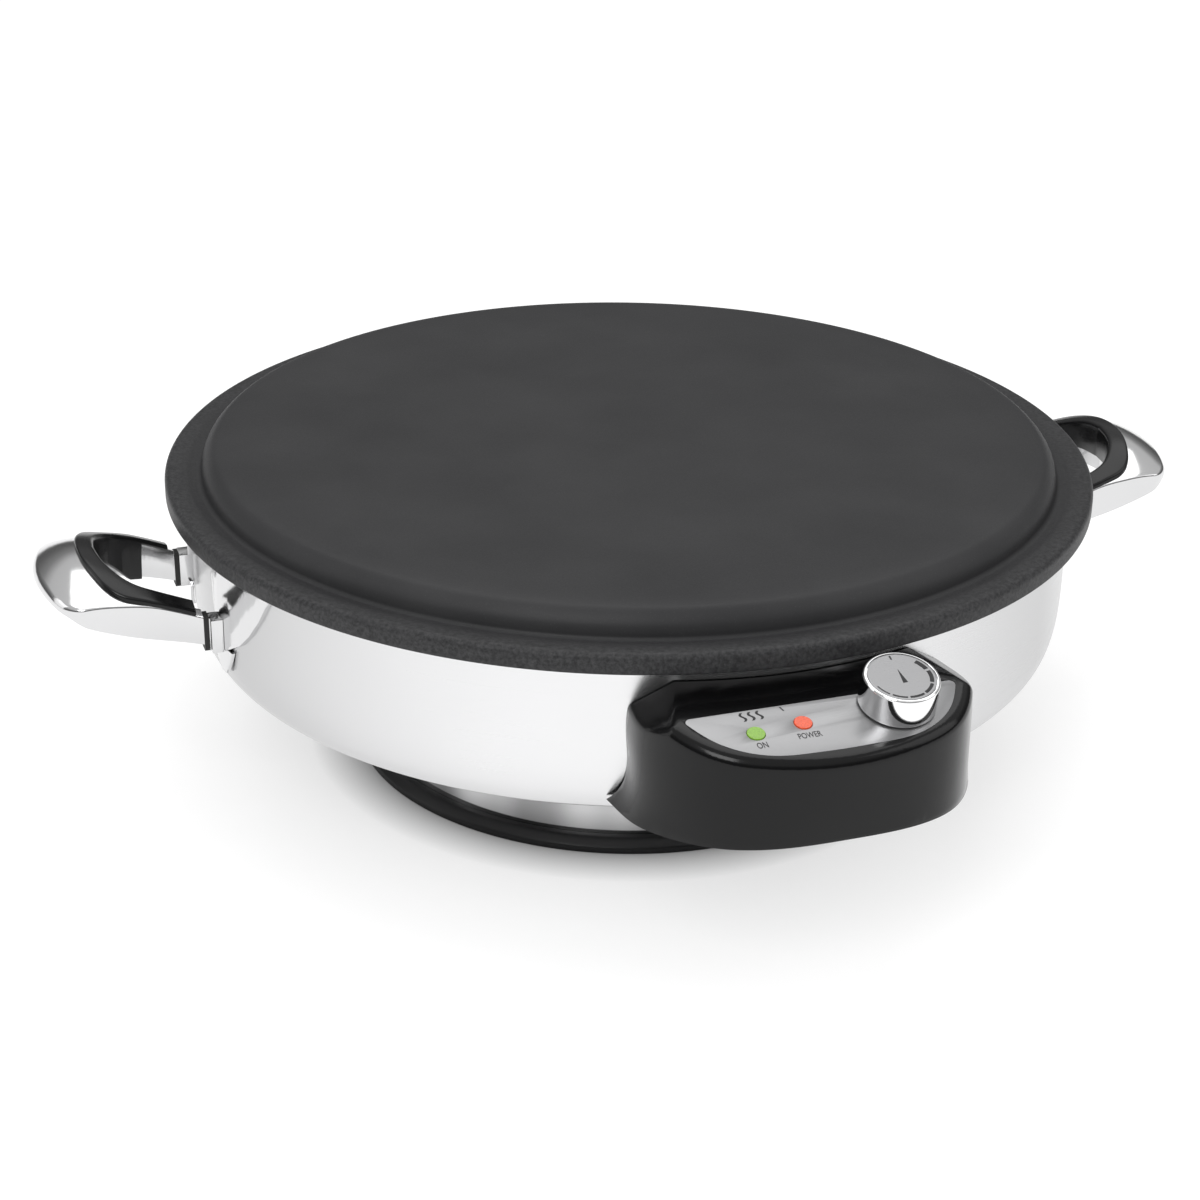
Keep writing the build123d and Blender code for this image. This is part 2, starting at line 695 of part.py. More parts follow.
with BuildPart() as sensor_post:
    with Locations((*POST_XY, DISH_Z - 3)):
        Cylinder(2.3, BULB_Z - BULB_R - DISH_Z + 3, align=(Align.CENTER, Align.CENTER, Align.MIN))
        Cylinder(4.5, 3, align=(Align.CENTER, Align.CENTER, Align.MIN))
        with Locations((0, 0, BULB_Z - BULB_R - DISH_Z + 3)):
            Box(8, 6.4, 5, align=(Align.CENTER, Align.CENTER, Align.CENTER))
    with Locations((0, -60, BULB_Z)):
        Cylinder(BULB_R, 60, rotation=(0, 90, 0), mode=Mode.SUBTRACT)

with BuildPart() as capillary_tube:
    with BuildLine() as tube_path:
        Spline(
            (18.0, -212.0, 96.0),
            (6.0, -202.0, 94.0),
            (0.0, -186.0, 88.0),
            (0.0, -150.0, 86.0),
            (0.0, -106.0, 86.5),
            (0.0, -92.0, 97.0),
            (0.0, -90.0, 112.0),
            (10.0, -84.0, 128.0),
            (26.0, -66.0, BULB_Z),
            (34.0, -60.0, BULB_Z),
        )
    with BuildSketch(Plane(origin=tube_path.line @ 0, z_dir=tube_path.line % 0)):
        Circle(0.9)
    sweep()

with BuildPart() as element_leads:
    for tab, points in (
        (leg_out, ((-13, -160, 74), (-16, -186, 88), (-18, -203, 95), (-23, -209, 104), (-24, -214, 99))),
        (leg_in, ((4, -156, 72), (-6, -186, 87), (-8, -204, 92), (-13, -213, 89), (-17.2, -214, 88))),
    ):
        start = (tab.X, tab.Y, ELEMENT_END_Z - 9.2)
        with BuildLine() as lead_path:
            Spline(start, *points, tangents=((0, 0, -1), (points[-1][0] - points[-2][0],
                   points[-1][1] - points[-2][1], points[-1][2] - points[-2][2])))
        with BuildSketch(Plane(origin=start, z_dir=(0, 0, -1))):
            Circle(1.5)
        sweep()

# ---------------------------------------------------------------------- handles
def handle_skin(thickness, outline):
    """Sheet piece lying on the bowl, cut to an outline given as (y, z)."""
    with BuildPart(mode=Mode.PRIVATE) as sheet:
        add(bowl_skin(thickness))
        add(bowl_skin(0.0), mode=Mode.SUBTRACT)
        with BuildSketch(Plane.YZ.offset(120)):
            with BuildLine():
                Polyline(*outline, close=True)
            make_face()
        extrude(amount=100, mode=Mode.INTERSECT)
    return sheet.part


def along_y(points, half_width):
    """Solid with a side profile given as (x, z), centred on the XZ plane."""
    with BuildPart(mode=Mode.PRIVATE) as block:
        with BuildSketch(Plane.XZ):
            with BuildLine():
                Polyline(*points, close=True)
            make_face()
        extrude(amount=half_width, both=True)
    return block.part


# Side profile of the handle: distance from the bowl axis, top at mid-width, top at CROWN_HALF.
CROWN = ((205.5, 105.0, 99.4), (225.0, 113.5, 106.6), (240.0, 119.6, 108.6), (252.0, 121.4, 109.2),
         (262.0, 118.9, 108.0), (272.0, 113.4, 104.0))


def crown_block(rise):
    """Solid under the handle's domed top face moved up by an amount."""
    with BuildPart(mode=Mode.PRIVATE) as block:
        for x, top, side in CROWN:
            with BuildSketch(Plane.YZ.offset(x)):
                with BuildLine():
                    ThreePointArc((-CROWN_HALF, side + rise), (0, top + rise), (CROWN_HALF, side + rise))
                    Polyline((CROWN_HALF, side + rise), (CROWN_HALF, 80), (-CROWN_HALF, 80),
                             (-CROWN_HALF, side + rise))
                make_face()
        loft()
    return block.part


def loop_points(grow):
    """Quarter outline of the finger opening, grown outward by an amount."""
    return (
        (ROOT_X - 8, GRIP_IN + grow),
        (222.0, GRIP_IN - 0.1 + grow),
        (234.2 + 0.65 * grow, 25.0 + 0.76 * grow),
        (242.2 + 0.93 * grow, 13.6 + 0.4 * grow),
        (GRIP_IN_X + grow, 0.0),
    )


def loop_block(grow, low, high):
    """Solid filling the finger opening grown by an amount, between two heights."""
    points = loop_points(grow)
    with BuildPart(mode=Mode.PRIVATE) as block:
        with BuildSketch(Plane.XY.offset(low)):
            with BuildLine():
                Spline(*points, *[(x, -y) for x, y in points[-2::-1]])
                Line((points[0][0], -points[0][1]), points[0])
            make_face()
        extrude(amount=high - low)
    return block.part


ARM_PROFILE = (
    (ROOT_X, 130.0), (TIP_X + 1, 130.0), (TIP_X + 1, 110.4), (262.5, 107.0), (253.5, 101.6),
    (235.7, 95.2), (214.7, 89.7), (ROOT_X, 87.1),
)
ARM_SCREWS = [(side * LUG_SCREW_Y, LUG_SCREW_Z) for side in (-1, 1)]

with BuildPart() as handle_casting:
    with BuildSketch(Plane.XY.offset(80)):
        with BuildLine():
            Polyline(
                (TIP_X - 6.0, -31.5), (255.5, -38.8), (ROOT_X, -ARM_OUT),
                (ROOT_X, ARM_OUT), (255.5, 38.8), (TIP_X - 6.0, 31.5),
            )
            ThreePointArc((TIP_X - 6.0, 31.5), (TIP_X, 0), (TIP_X - 6.0, -31.5))
        make_face()
    extrude(amount=50)
    fillet(handle_casting.edges().filter_by(Axis.Z).group_by(Axis.X)[-1], 6.0)
    add(crown_block(0.0), mode=Mode.INTERSECT)
    add(along_y(ARM_PROFILE, 50), mode=Mode.INTERSECT)
    add(loop_block(ARM_IN - GRIP_IN + 0.1, 80, 130), mode=Mode.SUBTRACT)
    with BuildSketch(Plane.YZ.offset(ROOT_X - 1)):
        with Locations(*ARM_SCREWS):
            Circle(2.1)
    extrude(amount=16, mode=Mode.SUBTRACT)

GRIP_OUTLINE = (
    (208.5, 38.1), (226.0, 38.0), (238.0, 35.6), (244.6, 30.0), (249.2, 20.0), (251.7, 10.0),
    (GRIP_OUT_X, 0.0),
)
BAND_PROFILE = (
    (220.5, 91.2), (226.0, 91.8), (236.0, 103.0), (241.0, 106.6), (252.0, 108.2), (252.0, 130.0),
    (220.5, 130.0),
)

with BuildPart() as handle_grip:
    with BuildSketch(Plane.XY.offset(80)):
        with BuildLine():
            Line(GRIP_OUTLINE[0], GRIP_OUTLINE[1])
            Spline(*GRIP_OUTLINE[1:], *[(x, -y) for x, y in GRIP_OUTLINE[-2:0:-1]])
            Line((226.0, -38.0), (208.5, -38.1))
            Line((208.5, -38.1), (208.5, 38.1))
        make_face()
    extrude(amount=50)
    add(crown_block(0.1), mode=Mode.SUBTRACT)
    add(loop_block(ARM_IN - GRIP_IN, 80, 130) & along_y(BAND_PROFILE, 50))
    add(crown_block(GRIP_PROUD), mode=Mode.INTERSECT)
    add(loop_block(0.0, 70, 130), mode=Mode.SUBTRACT)

WING = (
    (31.5, 84.2), (37.8, 84.2), (46, 87.5), (56, 93.5), (64, 101), (72, 111), (78.5, 121.5),
    (79.5, 126.5), (33, 126.5), (28.5, 116), (29.5, 106), (31.5, 99.4),
)
TAB = ((26.5, 86), (47.5, 86), (44, 79), (39.5, 73.4), (37, 72.5), (34.5, 73.4), (30.5, 79))

with BuildPart() as handle_lugs:
    for flip in (1, -1):
        wing = handle_skin(1.8, [(flip * y, z) for y, z in WING])
        tab = handle_skin(1.5, [(flip * y, z) for y, z in TAB])
        add(wing)
        add(tab)
        with Locations((ROOT_X - 2.3, flip * LUG_SCREW_Y, 84.2)):
            Box(12, 6.3, 15.2, align=(Align.MAX, Align.CENTER, Align.MIN))
        with Locations((197.8, flip * 37.8, 84.2)):
            Box(5, 6, 15.2, align=(Align.MIN, Align.CENTER, Align.MIN))
    add(outer_skin, mode=Mode.SUBTRACT)
    with BuildSketch(Plane.YZ.offset(180)):
        with Locations(*ARM_SCREWS):
            Circle(2.1)
    extrude(amount=60, mode=Mode.SUBTRACT)

with BuildPart() as handle_gaskets:
    with BuildSketch(Plane.YZ.offset(ROOT_X - 2.2)):
        for side in (-1, 1):
            with Locations((side * LUG_SCREW_Y, 92.4)):
                RectangleRounded(7.0, 16.4, 1.2)
        with Locations(*ARM_SCREWS):
            Circle(2.1, mode=Mode.SUBTRACT)
    extrude(amount=2.1)

with BuildPart() as handle_screws:
    for y, z in ARM_SCREWS:
        inner_x = ((BOWL_R - BOWL_T) ** 2 - (abs(y) + 4) ** 2) ** 0.5
        with Locations(Location((inner_x, y, z), (0, 90, 0))):
            Cylinder(4.0, 2.6, align=(Align.CENTER, Align.CENTER, Align.MAX))
            Cylinder(2.0, ROOT_X + 14 - inner_x, align=(Align.CENTER, Align.CENTER, Align.MIN))

pieces = {
    "griddle_plate": griddle_plate,
    "bowl_shell": bowl_shell,
    "foot_shell": foot_shell,
    "base_ring": base_ring,
    "bottom_cover": bottom_cover,
    "cover_screws": cover_screws,
    "reflector_dish": reflector_dish,
    "dish_supports": dish_supports,
    "dish_screws": dish_screws,
    "heating_element": heating_element,
    "element_clips": element_clips,
    "element_bushings": element_bushings,
    "element_tabs": element_tabs,
    "element_leads": element_leads,
    "sensor_bulb": sensor_bulb,
    "sensor_post": sensor_post,
    "capillary_tube": capillary_tube,
    "control_housing": control_housing,
    "control_base": control_base,
    "base_screws": base_screws,
    "box_seal": box_seal,
    "box_bracket": box_bracket,
    "box_bolts": box_bolts,
    "fascia_plate": fascia_plate,
    "lamp_holders": lamp_holders,
    "knob_body": knob_body,
    "knob_cap": knob_cap,
    "knob_shaft": knob_shaft,
    "thermostat_body": thermostat_body,
    "thermostat_plate": thermostat_plate,
    "thermostat_tabs": thermostat_tabs,
    "terminal_block": terminal_block,
    "terminal_screws": terminal_screws,
    "cord_gland": cord_gland,
    "gland_nut": gland_nut,
    **lenses,
}
for name, piece in pieces.items():
    save(piece.part, name)

for name, piece in {
    "casting": handle_casting,
    "grip": handle_grip,
    "lugs": handle_lugs,
    "gaskets": handle_gaskets,
    "screws": handle_screws,
}.items():
    save(piece.part, f"right_handle_{name}")
    save(piece.part.mirror(Plane.YZ), f"left_handle_{name}")
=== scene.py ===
import json
import math

import bmesh
import bpy
from mathutils import Matrix, Vector


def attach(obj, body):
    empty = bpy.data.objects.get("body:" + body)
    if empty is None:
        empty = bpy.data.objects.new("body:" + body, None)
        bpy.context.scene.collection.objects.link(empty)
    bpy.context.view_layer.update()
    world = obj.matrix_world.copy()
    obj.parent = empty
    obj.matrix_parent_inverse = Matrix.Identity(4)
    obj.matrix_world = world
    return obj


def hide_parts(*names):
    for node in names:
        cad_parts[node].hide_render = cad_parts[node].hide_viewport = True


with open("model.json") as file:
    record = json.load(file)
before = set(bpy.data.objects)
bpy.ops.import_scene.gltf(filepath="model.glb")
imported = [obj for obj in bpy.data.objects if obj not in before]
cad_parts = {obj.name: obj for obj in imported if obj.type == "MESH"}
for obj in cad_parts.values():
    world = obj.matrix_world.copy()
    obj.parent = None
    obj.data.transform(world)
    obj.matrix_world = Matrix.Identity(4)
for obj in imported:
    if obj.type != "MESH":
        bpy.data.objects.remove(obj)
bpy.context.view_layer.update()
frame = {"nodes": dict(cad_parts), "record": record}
scene = bpy.context.scene
NODES = frame["nodes"]
AXIS_Y = 0.023  # metres; where the bowl axis stands in the shared frame


# ------------------------------------------------------------------ camera
CAMERA_AIM = Vector((0, AXIS_Y, 0.12915))
CAMERA_DISTANCE = 1.155
LENS_MM, SENSOR_MM = 75.3, 36.0


def swing(a, b, angle):
    """Two square axes turned together in their own plane."""
    return a * math.cos(angle) + b * math.sin(angle), b * math.cos(angle) - a * math.sin(angle)


def camera():
    """Camera at the picture's viewing angle, aimed from the front left."""
    azimuth, elevation = math.radians(20.0), math.radians(22.0713)
    pan, tilt, roll = (math.radians(v) for v in (-0.5892, -2.9846, 1.0868))
    ahead = Vector((0, math.cos(elevation), -math.sin(elevation)))
    right, up = Vector((1, 0, 0)), Vector((0, math.sin(elevation), math.cos(elevation)))
    place = -ahead * CAMERA_DISTANCE
    ahead, right = swing(ahead, right, pan)
    ahead, up = swing(ahead, up, tilt)
    right, up = swing(right, up, roll)
    turn = Matrix.Rotation(-azimuth, 3, "Z")
    data = bpy.data.cameras.new("camera")
    data.sensor_width, data.lens = SENSOR_MM, LENS_MM
    data.clip_start, data.clip_end = 0.05, 60
    cam = bpy.data.objects.new("camera", data)
    scene.collection.objects.link(cam)
    axes = Matrix((turn @ right, turn @ up, -(turn @ ahead))).transposed().to_4x4()
    cam.matrix_world = Matrix.Translation(turn @ place + CAMERA_AIM) @ axes
    scene.camera = cam


camera()


# --------------------------------------------------------------- materials
class Nodes:
    """Small helper to wire a material's node tree."""

    def __init__(self, name):
        self.mat = bpy.data.materials.new(name)
        self.mat.use_nodes = True
        self.tree = self.mat.node_tree
        self.shader = self.tree.nodes["Principled BSDF"]
        self.coords = self.new("ShaderNodeTexCoord").outputs["Object"]

    def new(self, kind, **values):
        node = self.tree.nodes.new(kind)
        for key, value in values.items():
            setattr(node, key, value)
        return node

    def link(self, a, b):
        self.tree.links.new(a, b)

    def math(self, op, a, b=None):
        node = self.new("ShaderNodeMath", operation=op)
        for i, value in enumerate((a, b)):
            if value is None:
                continue
            if isinstance(value, (int, float)):
                node.inputs[i].default_value = value
            else:
                self.link(value, node.inputs[i])
        return node.outputs[0]

    def noise(self, scale, detail=3.0, rough=0.5, vector=None):
        node = self.new("ShaderNodeTexNoise")
        node.inputs["Scale"].default_value = scale
        node.inputs["Detail"].default_value = detail
        node.inputs["Roughness"].default_value = rough
        self.link(vector or self.coords, node.inputs["Vector"])
        return node.outputs["Fac"]

    def scaled(self, factors):
        node = self.new("ShaderNodeMapping")
        node.inputs["Scale"].default_value = factors
        self.link(self.coords, node.inputs["Vector"])
        return node.outputs["Vector"]

    def span(self, value, low, high, a, b):
        """Value from a to b as the input goes from low to high."""
        node = self.new("ShaderNodeMapRange")
        for key, v in (("From Min", low), ("From Max", high), ("To Min", a), ("To Max", b)):
            node.inputs[key].default_value = v
        self.link(value, node.inputs["Value"])
        return node.outputs["Result"]

    def mix(self, fac, a, b):
        node = self.new("ShaderNodeMix", data_type="RGBA")
        self.link(fac, node.inputs["Factor"])
        for key, value in (("A", a), ("B", b)):
            socket = [s for s in node.inputs if s.name == key and s.type == "RGBA"][0]
            if isinstance(value, (tuple, list)):
                socket.default_value = (*value, 1.0)
            else:
                self.link(value, socket)
        return [s for s in node.outputs if s.type == "RGBA"][0]

    def bump(self, height, strength, distance):
        node = self.new("ShaderNodeBump")
        node.inputs["Strength"].default_value = strength
        node.inputs["Distance"].default_value = distance
        self.link(height, node.inputs["Height"])
        self.link(node.outputs["Normal"], self.shader.inputs["Normal"])

    def polar(self):
        """Radius, angle and height about the bowl axis."""
        split = self.new("ShaderNodeSeparateXYZ")
        self.link(self.coords, split.inputs[0])
        x, y, z = split.outputs
        y = self.math("SUBTRACT", y, AXIS_Y)
        r = self.math("SQRT", self.math("ADD", self.math("MULTIPLY", x, x), self.math("MULTIPLY", y, y)))
        return r, self.math("ARCTAN2", y, x), z

    def turned(self, radial, around):
        """Coordinates in which noise runs in rings about the bowl axis."""
        r, angle, z = self.polar()
        join = self.new("ShaderNodeCombineXYZ")
        self.link(self.math("MULTIPLY", r, radial), join.inputs[0])
        self.link(self.math("MULTIPLY", angle, around), join.inputs[1])
        self.link(self.math("MULTIPLY", z, radial), join.inputs[2])
        return join.outputs[0]


def shade(color, k):
    """Colour made darker or lighter by a factor."""
    return tuple(min(1.0, c * k) for c in color)


def plain(name, color, rough, metal=0.0, mottle=0.08, mottle_scale=30, grain=900, bump=0.05,
          depth=0.0002, rough_var=0.06, coords=None, specular=0.5):
    """Base colour, roughness and relief that all vary a little over the surface."""
    n = Nodes(name)
    s = n.shader.inputs
    patches = n.noise(mottle_scale, 4)
    n.link(n.mix(n.span(patches, 0.3, 0.7, 0, 1), shade(color, 1 - mottle), shade(color, 1 + mottle)),
           s["Base Color"])
    vector = coords(n) if coords else None
    fine = n.noise(1.0 if coords else grain, 3, 0.6, vector)
    n.link(n.span(n.math("ADD", n.math("MULTIPLY", patches, 0.5), n.math("MULTIPLY", fine, 0.5)),
                  0.3, 0.7, rough - rough_var, rough + rough_var), s["Roughness"])
    s["Metallic"].default_value = metal
    s["Specular IOR Level"].default_value = specular
    n.bump(fine, bump, depth)
    return n.mat


def plate_coating():
    """Matt non-stick coat: fine pebbled grain, coarser on the rim's side."""
    n = Nodes("nonstick_plate")
    s = n.shader.inputs
    normal = n.new("ShaderNodeNewGeometry")
    up = n.new("ShaderNodeSeparateXYZ")
    n.link(normal.outputs["Normal"], up.inputs[0])
    r, _, _ = n.polar()
    side = n.span(r, 0.1925, 0.2085, 0.0, 1.0)
    fine, coarse = n.noise(1500, 3, 0.6), n.noise(620, 4, 0.65)
    specks = n.span(n.noise(2300, 2), 0.66, 0.78, 0.0, 1.0)
    patches = n.noise(14, 4, 0.6)
    base = n.mix(n.span(patches, 0.3, 0.7, 0, 1), (0.029, 0.029, 0.0305), (0.040, 0.040, 0.0415))
    grainy = n.mix(n.span(coarse, 0.35, 0.7, 0, 1), (0.015, 0.015, 0.016), (0.066, 0.066, 0.068))
    mixed = n.mix(n.math("MULTIPLY", side, 0.7), base, grainy)
    n.link(n.mix(n.math("MULTIPLY", specks, 0.35), mixed, (0.16, 0.16, 0.165)), s["Base Color"])
    polish = n.math("ADD", fine, n.math("MULTIPLY", patches, 0.6))
    n.link(n.span(polish, 0.5, 1.1, 0.42, 0.56), s["Roughness"])
    s["Specular IOR Level"].default_value = 0.24
    pebbles = n.math("ADD", n.math("MULTIPLY", fine, 0.5), n.math("MULTIPLY", coarse, side))
    n.bump(pebbles, 0.35, 0.00025)
    return n.mat


def haze_and_painted_bands(spread):
    """Mask of soft patches round the bowl axis, closer together for a larger spread; with the foot's wide
    gap between tones it paints reflection bands, bright and dark, and with both tones at 1 it only spreads
    the haze.
    """
    def painted_light_mask(n, angle):
        join = n.new("ShaderNodeCombineXYZ")
        for i, wave in enumerate(("COSINE", "SINE")):
            n.link(n.math("MULTIPLY", n.math(wave, angle), spread), join.inputs[i])
        return n.span(n.noise(1.0, 1.0, 0.4, join.outputs[0]), 0.36, 0.64, 0, 1)
    return painted_light_mask


def painted_front_highlight(n, angle):
    """Painted highlight: brightness that peaks at the front, slightly left, and falls off round the bowl
    axis into painted shade.
    """
    return n.span(n.math("COSINE", n.math("ADD", angle, 1.85)), 0.5, 1.0, 0, 1)


def satin_steel(name, rough, tone, lines, dim=1.0, bright=1.0, painted_light_mask=haze_and_painted_bands(1.0)):
    """Stainless sheet with faint turned lines, haze and, where dim and bright differ from 1, painted
    highlight and shade that vary round the axis.
    """
    n = Nodes(name)
    s = n.shader.inputs
    rings = n.noise(1.0, 3, 0.6, n.turned(2600.0, 1.2))
    haze = n.noise(7, 3)
    _, angle, _ = n.polar()
    light = n.mix(n.span(haze, 0.3, 0.7, 0, 1), shade(tone, 0.97 * bright), shade(tone, 1.03 * bright))
    # Painted light: the mask fades from the tone darkened by dim (painted shade) to the tone lightened by
    # bright (painted highlight).
    n.link(n.mix(painted_light_mask(n, angle), shade(tone, dim), light), s["Base Color"])
    n.link(n.span(n.math("ADD", n.math("MULTIPLY", rings, 0.5), n.math("MULTIPLY", haze, 0.5)),
                  0.35, 0.65, rough - 0.05, rough + 0.06), s["Roughness"])
    s["Metallic"].default_value = 1.0
    n.bump(rings, lines, 0.00006)
    return n.mat


def chrome(name, tone, rough):
    return plain(name, tone, rough, 1.0, mottle=0.02, mottle_scale=22, grain=260, bump=0.015,
                 depth=0.0004, rough_var=0.025)


def lens(name, color, glow):
    """Glossy coloured lens with a faint cell pattern and a slight glow."""
    n = Nodes(name)
    s = n.shader.inputs
    cells = n.new("ShaderNodeTexVoronoi")
    cells.inputs["Scale"].default_value = 1500
    n.link(n.coords, cells.inputs["Vector"])
    n.link(n.mix(n.span(cells.outputs["Distance"], 0.1, 0.7, 0, 1), shade(color, 1.1), shade(color, 0.82)),
           s["Base Color"])
    n.link(n.span(n.noise(700), 0.3, 0.7, 0.25, 0.4), s["Roughness"])
    s["Emission Color"].default_value = (*color, 1)
    s["Emission Strength"].default_value = glow
    s["Coat Weight"].default_value = 0.4
    return n.mat


def floor_paper():
    """White sweep, evenly bright, fading to a soft shade close round the foot."""
    n = Nodes("floor_white")
    s = n.shader.inputs
    fleck = n.noise(60, 3)
    n.link(n.mix(fleck, (0.395, 0.395, 0.395), (0.405, 0.405, 0.405)), s["Base Color"])
    n.link(n.span(fleck, 0.3, 0.7, 0.72, 0.78), s["Roughness"])
    s["Specular IOR Level"].default_value = 0.05
    s["Emission Color"].default_value = (1, 1, 1, 1)
    r, _, _ = n.polar()
    # Painted contact shadow: the floor's glow drops to nothing close round the foot and rises out to 235 mm.
    near = n.span(r, 0.122, 0.150, 0.0, 0.60)
    far = n.span(r, 0.150, 0.235, 0.0, 0.14)
    n.link(n.math("ADD", near, far), s["Emission Strength"])
    return n.mat


MATS = {
    "nonstick_plate": plate_coating(),
    # Bowl: painted highlight at the front, slightly left, and painted shade at the back and sides.
    "bowl_steel": satin_steel("bowl_steel", 0.22, (0.62, 0.62, 0.625), 0.035, 0.80, 1.30, painted_front_highlight),
    # Foot: painted reflection bands, bright and dark, round the drum.
    "foot_steel": satin_steel("foot_steel", 0.10, (0.66, 0.66, 0.665), 0.04, 0.35, 1.35, haze_and_painted_bands(3.2)),
    "base_black": plain("base_black", (0.008, 0.008, 0.0085), 0.36, grain=1400, bump=0.08, specular=0.3),
    "cover_steel": satin_steel("cover_steel", 0.32, (0.60, 0.60, 0.61), 0.2),
    "screw_steel": plain("screw_steel", (0.62, 0.61, 0.58), 0.28, 1.0, grain=2200, bump=0.1),
    "dish_aluminium": satin_steel("dish_aluminium", 0.22, (0.80, 0.80, 0.79), 0.2),
    "inner_steel": plain("inner_steel", (0.52, 0.52, 0.52), 0.34, 1.0, grain=1200, bump=0.12),
    "element_sheath": plain("element_sheath", (0.14, 0.12, 0.11), 0.5, 0.8, mottle=0.35,
                            mottle_scale=60, bump=0.2),
    "bushing_ceramic": plain("bushing_ceramic", (0.80, 0.77, 0.71), 0.6, mottle=0.06, grain=1500, bump=0.15),
    "tab_brass": plain("tab_brass", (0.72, 0.53, 0.25), 0.32, 1.0, grain=1800),
    "lead_sleeve": plain("lead_sleeve", (0.68, 0.65, 0.58), 0.85, grain=2500, bump=0.5, mottle=0.12),
    "tube_copper": plain("tube_copper", (0.75, 0.40, 0.26), 0.3, 1.0, mottle=0.15, grain=900),
    "housing_black": plain("housing_black", (0.004, 0.004, 0.0043), 0.15, grain=2600, bump=0.03,
                           depth=0.0001, rough_var=0.04, specular=0.28),
    "seal_rubber": plain("seal_rubber", (0.014, 0.014, 0.014), 0.6, grain=1800, bump=0.15),
    "fascia_silver": plain("fascia_silver", (0.34, 0.34, 0.345), 0.36, 0.85, mottle=0.03, bump=0.10,
                           depth=0.00006, coords=lambda n: n.scaled((160, 5200, 5200))),
    "lamp_white": plain("lamp_white", (0.78, 0.77, 0.73), 0.5, grain=1600),
    "lens_green": lens("lens_green", (0.22, 0.44, 0.035), 0.16),
    "lens_orange": lens("lens_orange", (0.80, 0.09, 0.022), 0.16),
    "knob_chrome": chrome("knob_chrome", (0.90, 0.90, 0.905), 0.05),
    "knob_satin": plain("knob_satin", (0.30, 0.30, 0.305), 0.30, 0.95, mottle=0.03, bump=0.08,
                        depth=0.00005, coords=lambda n: n.scaled((220, 4800, 4800))),
    "handle_chrome": chrome("handle_chrome", (0.70, 0.70, 0.705), 0.13),
    "grip_black": plain("grip_black", (0.006, 0.006, 0.0064), 0.24, grain=1800, bump=0.04,
                        depth=0.0001, specular=0.32),
    "print_black": plain("print_black", (0.012, 0.012, 0.013), 0.5, grain=3000),
}
SLOTS = {e["node"]: e["material_slot"] for e in frame["record"]["subparts"]}

for node, obj in NODES.items():
    obj.data.materials.clear()
    obj.data.materials.append(MATS[SLOTS[node]])
    for p in obj.data.polygons:
        p.use_smooth = True


# ------------------------------------------------------------ mesh helpers
AT_AXIS = Matrix.Translation((0, AXIS_Y, 0))
AXIS_R = 0.001  # millimetres; a turned surface ends at its axis in a ring this small


def piece(name, mesh, body, slot, *nodes, material=None):
    """Finished object riding on a body, standing for the given CAD nodes."""
    obj = bpy.data.objects.new(name, mesh)
    scene.collection.objects.link(obj)
    mesh.materials.clear()
    mesh.materials.append(material or MATS[slot])
    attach(obj, body)
    if nodes:
        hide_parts(*nodes)
    return obj


def mesh_from(name, bm, place, smooth=True):
    """Mesh of a finished bmesh, moved into place."""
    bmesh.ops.recalc_face_normals(bm, faces=bm.faces)
    bm.transform(place)
    mesh = bpy.data.meshes.new(name)
    bm.to_mesh(mesh)
    bm.free()
    for p in mesh.polygons:
        p.use_smooth = smooth
    return mesh


def lathe(name, profile, steps, place=AT_AXIS, closed=True, wobble=None):
    """Turned surface from (radius, height) points in millimetres about an upright axis."""
    bm = bmesh.new()
    rings = []
    for r, z in profile:
        ring = []
        for i in range(steps):
            a = 2 * math.pi * i / steps
            reach = wobble(r, z, a) if wobble else r
            ring.append(bm.verts.new((reach * math.cos(a) / 1000, reach * math.sin(a) / 1000, z / 1000)))
        rings.append(ring)
    pairs = list(zip(rings, rings[1:]))
    if closed:
        pairs.append((rings[-1], rings[0]))
    for a, b in pairs:
        for i in range(steps):
            j = (i + 1) % steps
            bm.faces.new((a[i], b[i], b[j], a[j]))
    return mesh_from(name, bm, place)


def arc(cx, cz, r, a0, a1, n):
    """Points of an arc in degrees about a centre, n steps long."""
    return [(cx + r * math.cos(math.radians(a0 + (a1 - a0) * i / n)),
             cz + r * math.sin(math.radians(a0 + (a1 - a0) * i / n))) for i in range(n + 1)]


def curve_through(points, n):
    """Smooth run through a few points, with n steps between each two."""
    def blend(a, b, c, d, t):
        square = (2 * a - 5 * b + 4 * c - d) * t * t
        cube = (3 * b - a - 3 * c + d) * t ** 3
        return 0.5 * (2 * b + (c - a) * t + square + cube)

    out = []
    last = len(points) - 1
    for i in range(last):
        near = (points[max(0, i - 1)], points[i], points[i + 1], points[min(last, i + 2)])
        for k in range(n):
            out.append(tuple(blend(*run, k / n) for run in zip(*near)))
    return out + [points[-1]]


def by_angle(obj, degrees):
    """Smooth shading except over edges sharper than an angle."""
    mesh = obj.data
    bm = bmesh.new()
    bm.from_mesh(mesh)
    for e in bm.edges:
        sharp = len(e.link_faces) == 2 and e.calc_face_angle(0) > math.radians(degrees)
        e.smooth = not sharp
    bm.to_mesh(mesh)
    bm.free()


